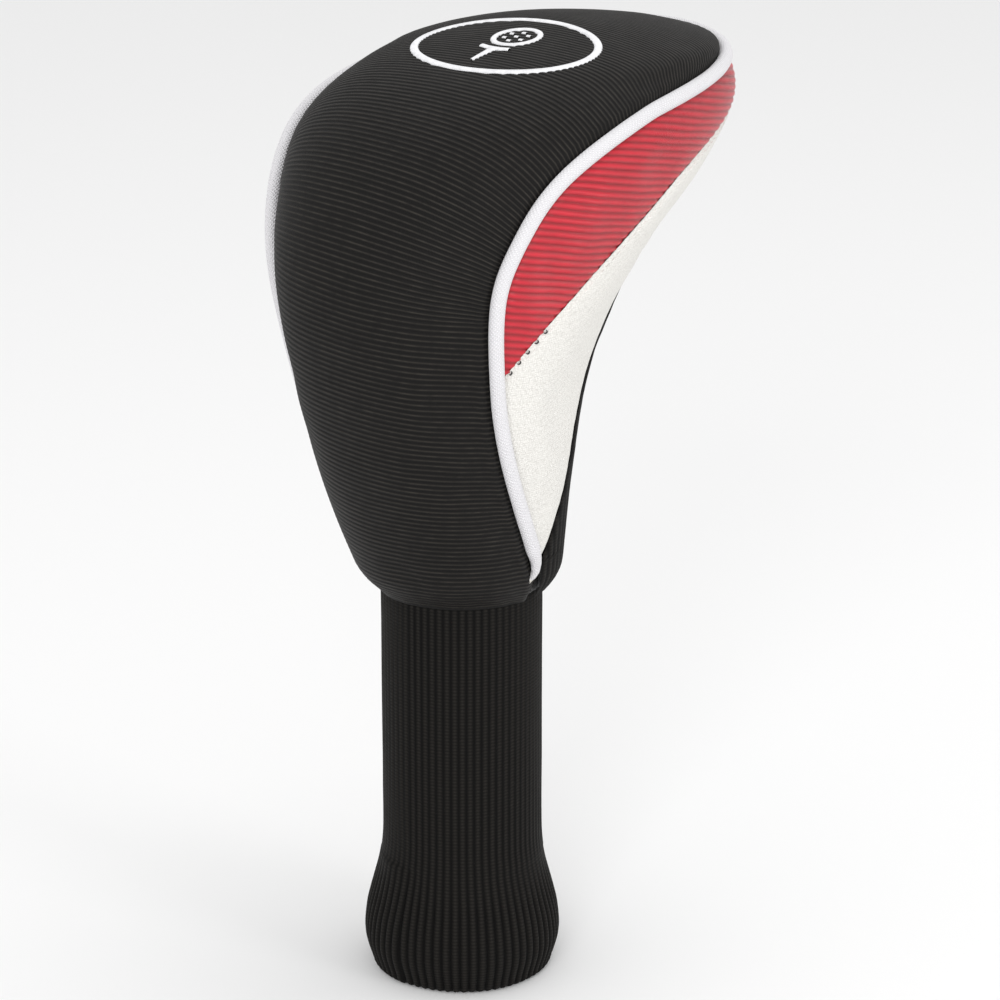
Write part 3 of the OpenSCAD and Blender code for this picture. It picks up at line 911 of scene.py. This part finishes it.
def back_gusset():
    rows = 64
    cols = 6 * SOCK_RIBS // 2
    low = on_path(PIPING, np.linspace(0, 0.045, 8))
    high = on_path(GUSSET, np.linspace(0.02, 0.985, rows - 8))
    edge = np.concatenate([low, high])
    blend = np.linspace(0, 1, cols)
    v = edge[:, 1][:, None] * (1 - blend) + (360 - edge[:, 1])[:, None] * blend
    u = np.broadcast_to(edge[:, 0][:, None], v.shape)
    net = hood(u, v)
    normals = surface_normal(u, v)
    far, where = from_gusset(folded(net))
    out = seam_roll(far, *GUSSET_EDGE_ROLL) + pucker(far, where, 0.2, 5, 41)
    out += rib_knit_wave(np.radians(v), GUSSET_RIB_H)
    net = net + normals * out[..., None]
    uv = net_uv(net)
    uv[..., 0] = np.radians(v) * SOCK_R
    obj = net_piece("back_gusset_cloth", net, uv)
    finish_piece(obj, "hood", "black_rib_knit", rib_knit, "back_gusset")


def sock_profile(heights):
    """Outer radius of the sock: a bell-shaped cuff, a straight leg and a slight neck."""
    bell = np.array([CUFF_R - inwards for inwards in BELL_IN] + [SOCK_R + 0.2, SOCK_R])
    return spline(bell, np.clip((heights - BELL_FROM_Z) / (BELL_Z - BELL_FROM_Z), 0, 1))


def sock_cloth():
    """The outer ply, the fold under the cuff and the first part of the inner ply, in one tube."""
    up = np.linspace(FOLD_R, HEM_Z + 7, 126)
    outer_r = sock_profile(up)
    turn = np.linspace(0, math.pi, 12)[1:-1]
    bottom_r = outer_r[0]
    inner_r = SOCK_IN_R + 1.2
    middle = (bottom_r + inner_r) / 2
    half = (bottom_r - inner_r) / 2
    fold = np.stack([middle - half * np.cos(turn), FOLD_R - FOLD_R * np.sin(turn)], -1)
    inside_up = np.linspace(FOLD_TOP_Z, FOLD_R, 40)
    profile = np.concatenate([
        np.stack([np.full(40, inner_r), inside_up], -1),
        fold,
        np.stack([outer_r, up], -1),
    ])
    cols = SOCK_RIBS * 7
    angle = np.linspace(0, 2 * math.pi, cols, endpoint=False)
    radius, height = profile[:, 0][:, None], profile[:, 1][:, None]
    facing = np.clip((profile[:, 0] - middle) / half, -1, 1)[:, None]
    fold_at = 3 + 12 * np.exp(-((height - DENT_Z) / 16) ** 2)
    across = (np.degrees(angle)[None, :] + 180) % 360 - 180 - fold_at
    dent = DENT_DEPTH * np.exp(-((across / 8) ** 2)) - DENT_RISE * np.exp(-(((across + 20) / 12) ** 2))
    dent = dent * np.clip((height - 30) / 40, 0, 1) * np.clip((HEM_Z - height) / 14, 0, 1)
    wobble = 0.6 * waves(angle[None, :] * 2.2, height / 30, 51, 3)
    lean = np.radians(3.5) * waves(angle[None, :] * 0.6, height / 40, 52, 2)
    bulge = rib_knit_wave(angle[None, :] + lean, SOCK_RIB_H) * facing
    r = radius + bulge + (wobble - dent) * (facing > 0)
    drop = 0.35 * np.cos(angle * SOCK_RIBS)[None, :] * (1 - np.abs(facing)) * (height < FOLD_R + 0.1)
    net = round_net(r, angle, height + np.maximum(drop, -height))
    along = distance_along(profile)
    uv = np.stack([(angle[None, :] + lean * facing) * SOCK_R + 0 * r, along[:, None] + 0 * r], -1)
    obj = net_piece("sock_knit", net, uv, closed=True, wrap=2 * math.pi * SOCK_R)
    nodes = ("sock_outer_knit", "neck_sleeve_outer", "cuff_hem")
    finish_piece(obj, None, "black_rib_knit", rib_knit, *nodes)
    bend_with_neck(obj)


def sock_lining():
    """The inner ply above the fold, up to the neck binding."""
    cols = SOCK_RIBS * 6
    angle = np.linspace(0, 2 * math.pi, cols, endpoint=False)
    height = np.linspace(40, HEM_Z + 6, 60)[:, None]
    r = SOCK_IN_R + 0.5 + rib_knit_wave(angle[None, :], LINING_RIB_H) + 0 * height
    net = round_net(r, angle, height)
    uv = np.stack([angle * SOCK_R + 0 * r, height + 0 * r], -1)
    obj = net_piece("sock_inner_ply", net, uv, closed=True, flip=True, wrap=2 * math.pi * SOCK_R)
    finish_piece(obj, None, "black_rib_knit", rib_knit, "sock_inner_knit", "neck_sleeve_inner")
    bend_with_neck(obj)


# ---- piping and stitches

PIPING_SIDES = 20
CORD_SIDES = 8
CORD_R = 1.0

# The piping's ends thin out over this length, curl in, and tuck under the hem this deep
TAPER_LENGTH = 15.0
CURL_LENGTH, CURL_IN = 10.0, 4.0
TUCK_LENGTH, TUCK_DEPTH = 6.0, 1.8


def piping():
    """The tape and its cord as one tube each, up the right side, round the tail and down the left."""
    seam = Seam(PIPING, 0.03, 1.0, 420)
    where = from_piping(seam.points)[1]
    curl = CURL_IN * np.clip(1 - (where - where[0]) / CURL_LENGTH, 0, 1) ** 2
    right_points = seam.points - seam.side * curl[:, None]
    left_sink = PIPING_SINK * drawn_in(0 * where, where, CROWN_REACH)
    left_points = right_points + seam.normals * left_sink[:, None]
    points = np.concatenate([right_points, mirrored(left_points)[-2::-1]])
    normals = np.concatenate([seam.normals, mirrored(seam.normals)[-2::-1]])
    centres = points + normals * PIPING_LIFT
    along = distance_along(centres)
    uneven = 1 + 0.02 * waves(along / 6, 0 * along, 61, 2)
    from_end = np.minimum(along, along[-1] - along)
    taper = 0.25 + 0.75 * np.clip(from_end / TAPER_LENGTH, 0, 1) ** 0.7
    tuck = TUCK_DEPTH * np.clip(1 - from_end / TUCK_LENGTH, 0, 1) ** 2
    centres = centres - normals * tuck[:, None]
    net = tube_net(centres, normals, PIPING_SIDES, (PIPING_R * uneven * taper)[:, None], 1.06)
    round_uv = np.linspace(0, 2 * math.pi * PIPING_R, PIPING_SIDES, endpoint=False)
    uv = np.stack(np.broadcast_arrays(round_uv, along[:, None]), -1)
    tape = capped("piping_tape_cloth", net, uv, 2 * math.pi * PIPING_R)
    finish_piece(tape, "hood", "piping_tape", piping_tape, "piping_tape")
    cord_net = tube_net(centres, normals, CORD_SIDES, CORD_R)
    cord = capped("piping_cord_core", cord_net, uv[:, :CORD_SIDES], None)
    finish_piece(cord, "hood", "cotton_cord", cotton, "piping_cord")


def stitch_row(name, line, normals, pitch, length, thickness, lift):
    """Separate stitches laid end to end along a line, each dipping into the cloth at its ends."""
    along = distance_along(line)

    def at(values, s):
        return np.stack([np.interp(s, along, values[:, k]) for k in range(3)], -1)

    points, faces, uvs = [], [], []
    rings, sides = 7, 7
    for start in np.arange(1.0, along[-1] - length, pitch):
        s = np.linspace(start, start + length, rings)
        t = np.linspace(-1, 1, rings)
        rise = lift * (1 - t**4) - 0.35 * t**4
        centres = at(line, s) + at(normals, s) * rise[:, None]
        net = tube_net(centres, at(normals, s), sides, (thickness * (1 - 0.35 * t**4))[:, None])
        base = len(points) * rings * sides
        points.append(net.reshape(-1, 3))
        uvs.append(np.zeros((rings * sides, 2)))
        faces.extend((net_faces(rings, sides, True) + base).tolist())
        faces.append([base + k for k in range(sides - 1, -1, -1)])
        faces.append([base + (rings - 1) * sides + k for k in range(sides)])
    return mesh_piece(name, np.concatenate(points), faces, np.concatenate(uvs))


def sewing_line(side, start, end, count, shift, depth):
    """A line beside the side seam, a little below the cloth, and its normals."""
    seam = Seam(SIDE_SEAM, start, end, count)
    line, normals = seam.shifted(shift), seam.normals
    if side == "left":
        line, normals = mirrored(line), mirrored(normals)
    return line - depth * normals, normals


def topstitch(side):
    """One side's row of pale stitches below the side seam, and the dark tacks at its front end."""
    line, normals = sewing_line(side, 0.06, 0.985, 300, 1.5, 0.3)
    obj = stitch_row(f"topstitch_{side}_thread", line, normals, 3.0, 2.3, 0.2, 0.15)
    finish_piece(obj, "hood", "stitch_thread", seam_thread, f"topstitch_{side}")
    line, normals = sewing_line(side, 0.025, 0.125, 80, 0.2, 0.5)
    obj = stitch_row(f"seam_tacks_{side}", line, normals, 4.4, 1.3, 0.26, 0.35)
    finish_piece(obj, "hood", "stitch_thread", dark_thread)


# ---- emblem

EMBLEM = np.array([3.0, 20.0])
EMBLEM_HALF = np.array([36.0, 26.0])
BALL_R = 9.0
BALL_UP = 6.0
DIMPLE_RING_R = 4.1
TEE_GAP = 1.6
STEM_TOP, STEM_FOOT = -1.6, -13.0
STEM_TOP_W, STEM_FOOT_W = 3.4, 1.2

# Widths of the satin stitch in each line, and of one thread of it
SATIN_W = 3.0
BALL_LINE_W = 2.2
DIMPLE_W = 1.5
CUP_W = 2.4
THREAD_W = 0.42
THREAD_STEPS = 4


def roof(points):
    """Points on the crown's cloth straight above points in plan, and the normals there."""
    hits = [crown_form.ray_cast((x, y, 2 * CROWN_Z), (0, 0, -1)) for x, y in points]
    return np.array([tuple(h[0]) for h in hits]), np.array([tuple(h[1]) for h in hits])


def satin_line(name, line, width, closed, nodes, height=0.85):
    """A raised line of satin stitch: threads lie side by side across it."""
    if closed:
        line = np.vstack([line, line[:1]])
    along = distance_along(line)
    count = int(along[-1] / THREAD_W) * THREAD_STEPS
    s = np.linspace(0, along[-1], count, endpoint=not closed)
    mid = np.column_stack([np.interp(s, along, line[:, k]) for k in range(2)])
    if closed:
        run = np.roll(mid, -1, 0) - np.roll(mid, 1, 0)
    else:
        run = np.gradient(mid, axis=0)
    run /= np.linalg.norm(run, axis=1, keepdims=True)
    across = np.column_stack([run[:, 1], -run[:, 0]])
    lanes = np.linspace(-1, 1, 11)
    width = np.broadcast_to(width, s.shape)
    ragged = 1 + 0.03 * np.sin(s * 2 * math.pi / THREAD_W / 2.03)
    points = mid[:, None] + across[:, None] * (lanes[None, :, None] * (width * ragged)[:, None, None] / 2)
    flat = points.reshape(-1, 2)
    rise = height * np.sqrt(np.clip(1 - np.abs(lanes) ** 2.6, 0, 1))
    ridge = 0.13 * np.abs(np.sin(math.pi * s / THREAD_W))[:, None] * (rise > 0.1)
    lift = (rise[None, :] + ridge - 0.3).ravel()
    on_cloth, up = roof(flat)
    net = (on_cloth + up * lift[:, None]).reshape(len(s), len(lanes), 3)
    if closed:
        net = np.concatenate([net, net[:1]])
    obj = net_piece(name, net, flip=True)
    return finish_piece(obj, "hood", "embroidery", embroidery, *nodes)


def oval(half, centre, count=240):
    angle = np.linspace(0, 2 * math.pi, count, endpoint=False)
    return np.column_stack([np.cos(angle) * half[0], np.sin(angle) * half[1]]) + centre


def emblem():
    """A golf ball on a tee inside an oval border."""
    ball = EMBLEM + [0, BALL_UP]
    satin_line("emblem_border", oval(EMBLEM_HALF - SATIN_W / 2, EMBLEM), SATIN_W, True, ["emblem_ring"])
    outline = oval(np.full(2, BALL_R - BALL_LINE_W / 2), ball)
    satin_line("emblem_ball_outline", outline, BALL_LINE_W, True, ["emblem_ball"])
    turns = np.radians(range(30, 390, 60))
    spots = [(0, 0)] + [(DIMPLE_RING_R * math.cos(a), DIMPLE_RING_R * math.sin(a)) for a in turns]
    for k, spot in enumerate(spots):
        dimple = np.array([[-0.9, 0.0], [0.9, 0.0]]) + ball + spot
        satin_line(f"emblem_dimple_{k + 1}", dimple, DIMPLE_W, False, [], 0.7)
    top = ball[1] - BALL_R - TEE_GAP
    cup = np.array([[-6.0, -0.6], [-3, -1.3], [0, -1.5], [3, -1.3], [6.0, -0.6]]) + [EMBLEM[0], top]
    satin_line("emblem_tee_cup", cup, CUP_W, False, ["emblem_tee"])
    stem = np.array([[0, STEM_TOP], [0, STEM_FOOT]]) + [EMBLEM[0], top]
    steps = int((STEM_TOP - STEM_FOOT) / THREAD_W) * THREAD_STEPS
    width = np.linspace(STEM_TOP_W, STEM_FOOT_W, steps)
    satin_line("emblem_tee_stem", stem, width, False, [])


# ---- inner pieces

# How far the padding stops short of the piping, and where it starts and ends up the crown
CROWN_CLEARANCE = 3.0
RIGHT_CLEARANCE = 2.5
LEFT_CLEARANCE = 8.0
CROWN_PADDING_SPAN = (0.06, 0.985)

# The padding follows the drawn-in seam further from it than the side cloth does
PADDING_REACH = 1.4 * SIDE_REACH


def slab(name, body, outer, inner, slot, material, node, closed=False):
    """A closed layer between two nets of the same size."""
    rows, cols = outer.shape[:2]
    n = rows * cols
    index = np.arange(n).reshape(rows, cols)
    faces = net_faces(rows, cols, closed).tolist() + (net_faces(rows, cols, closed, True) + n).tolist()
    if closed:
        loops = [index[0], index[-1][::-1]]
    else:
        loops = [np.concatenate([index[0, :-1], index[:-1, -1], index[-1, :0:-1], index[:0:-1, 0]])]
    for loop in loops:
        nxt = np.roll(loop, -1)
        faces += np.stack([nxt, loop, loop + n, nxt + n], -1).tolist()
    uv = np.concatenate([net_uv(outer).reshape(-1, 2), net_uv(inner).reshape(-1, 2)])
    points = np.concatenate([outer.reshape(-1, 3), inner.reshape(-1, 3)])
    return finish_piece(mesh_piece(name, points, faces, uv), body, slot, material, node)


def crown_padding():
    """The crown's padding as a net, and its normals."""
    levels, _ = crown_levels()
    levels = np.interp(np.linspace(*CROWN_PADDING_SPAN, 84), np.linspace(0, 1, len(levels)), levels)
    seam = piping_seam.shifted(-CROWN_CLEARANCE)
    left, right = (edge_angles(crown_place, points, levels) for points in (mirrored(seam), seam))
    net = rows_of(crown_planes, levels, left, right, 40)
    return net, net_normals(net)


def side_padding(clearance):
    """A side's padding as a net that stops that far from the piping, and its normals."""
    planes, place = level_planes(0.0)
    edge = piping_seam.shifted(clearance)
    levels = np.linspace(edge[48][2], edge[-1][2] - 4, 60)
    back = np.full(len(levels), math.pi - 0.002)
    net = rows_of(planes, levels, edge_angles(place, edge, levels), back, 30)
    return net, outward(net)


def sunk(part, net):
    """How much deeper than its layer's depth each point of the padding is."""
    deeper = 0.12 * waves(net[..., 0] / 3, net[..., 2] / 3, 71)
    far, where = from_piping(folded(net))
    if part == "crown":
        deeper -= np.where(net[..., 0] < 0, drawn_in(far, where, CROWN_REACH), 0)
    if part == "left":
        deeper -= drawn_in(far, where, PADDING_REACH)
    return deeper[..., None]


def inner_layers():
    """Foam and fleece under every panel, which show only through the sock's mouth."""
    nets = {
        "crown": crown_padding(),
        "right": side_padding(RIGHT_CLEARANCE),
        "left": side_padding(LEFT_CLEARANCE),
    }
    layers = (("foam", 3.3, 1.6, "foam", foam), ("lining", 5.2, 0.5, "fleece", fleece))
    for name, depth, thick, slot, material in layers:
        for part, (net, normals) in nets.items():
            top = depth + sunk(part, net)
            outer, inner = net - normals * top, net - normals * (top + thick)
            if part == "left":
                outer, inner = mirrored(outer)[:, ::-1], mirrored(inner)[:, ::-1]
            obj = slab(f"{name}_{part}_layer", "hood", outer, inner, slot, material, f"{name}_{part}")


def band(name, body, outer_r, thick, low, high, weave, slot, material, node):
    """A round band inside the neck or the cuff, ribbed across like woven elastic."""
    angle = np.linspace(0, 2 * math.pi, 192, endpoint=False)
    z = np.linspace(low, high, 14)[:, None]
    ripple = weave * np.cos(angle * 48)[None, :] + 0 * z
    outer = round_net(outer_r - weave + ripple, angle, z)
    inner = round_net(outer_r - thick + weave + ripple * 0.5, angle, z)
    slab(name, body, outer, inner, slot, material, node, closed=True)


crown_form = crown_panel()
for which, seed in (("right", 21), ("left", 24)):
    red_panel(which, seed)
for which, seed in (("right", 31), ("left", 35)):
    white_panel(which, seed)
for which in ("left", "right"):
    topstitch(which)
back_gusset()
piping()
emblem()
sock_cloth()
sock_lining()
inner_layers()
band("neck_elastic_band", "hood", 28.2, 1.8, HEM_Z + 1, HEM_Z + 7, 0.12, "elastic", elastic, "neck_elastic")
band("neck_binding_tape", "hood", 26.0, 1.2, HEM_Z + 0.5, HEM_Z + 9, 0.08, "fleece", fleece, "neck_binding")
band("cuff_elastic_band", "sock", CUFF_ELASTIC_R, 3.4, 6, 20, 0.15, "elastic", elastic, "cuff_elastic")


# ---- floor, light and camera

FLOOR_HALF = 6.0
LIGHTS_AIM = (0, 0.02, 0.2)
CAMERA_AIM = (0.0044, 0.0155, 0.1695)
CAMERA_CENTRE = (0, 0.02, 0.19)


def studio():
    """A pale floor, a white world and three soft lights."""
    mesh = bpy.data.meshes.new("floor")
    corners = [(x * FLOOR_HALF, y * FLOOR_HALF, 0) for x, y in ((-1, -1), (1, -1), (1, 1), (-1, 1))]
    mesh.from_pydata(corners, [], [(0, 1, 2, 3)])
    floor = bpy.data.objects.new("floor", mesh)
    bpy.context.scene.collection.objects.link(floor)
    s = Shader("floor", 0.9, specular=0.1)
    s.shader.inputs["Base Color"].default_value = (0.9, 0.9, 0.9, 1)
    mesh.materials.append(s.material)
    world = bpy.data.worlds.new("studio")
    world.use_nodes = True
    world.node_tree.nodes["Background"].inputs["Color"].default_value = (1, 1, 1, 1)
    world.node_tree.nodes["Background"].inputs["Strength"].default_value = 0.88
    bpy.context.scene.world = world
    area_light("key", (0.9, -1.6, 1.1), 0.7, 11)
    area_light("side", (1.9, 0.1, 0.6), 0.6, 7)
    area_light("top", (0.2, 0.5, 1.8), 1.0, 4)


def area_light(name, place, size, power):
    light = bpy.data.lights.new(name, "AREA")
    light.size = size
    light.energy = power
    obj = bpy.data.objects.new(name, light)
    obj.location = place
    aim(obj, Vector(LIGHTS_AIM))
    bpy.context.scene.collection.objects.link(obj)


def aim(obj, target):
    direction = target - Vector(obj.location)
    obj.rotation_euler = direction.to_track_quat("-Z", "Y").to_euler()


def camera():
    """A long lens at the front right, a little above, that fills the frame with the cover."""
    turn, rise, distance = math.radians(40), math.radians(17), 1.2
    back = Vector((math.sin(turn) * math.cos(rise), -math.cos(turn) * math.cos(rise), math.sin(rise)))
    data = bpy.data.cameras.new("camera")
    data.lens = 124.5
    data.sensor_width = 36
    obj = bpy.data.objects.new("camera", data)
    obj.location = Vector(CAMERA_CENTRE) + back * distance
    aim(obj, Vector(CAMERA_AIM))
    bpy.context.scene.collection.objects.link(obj)
    bpy.context.scene.camera = obj


bpy.context.scene.view_settings.view_transform = "Standard"
studio()
camera()
bpy.context.view_layer.update()
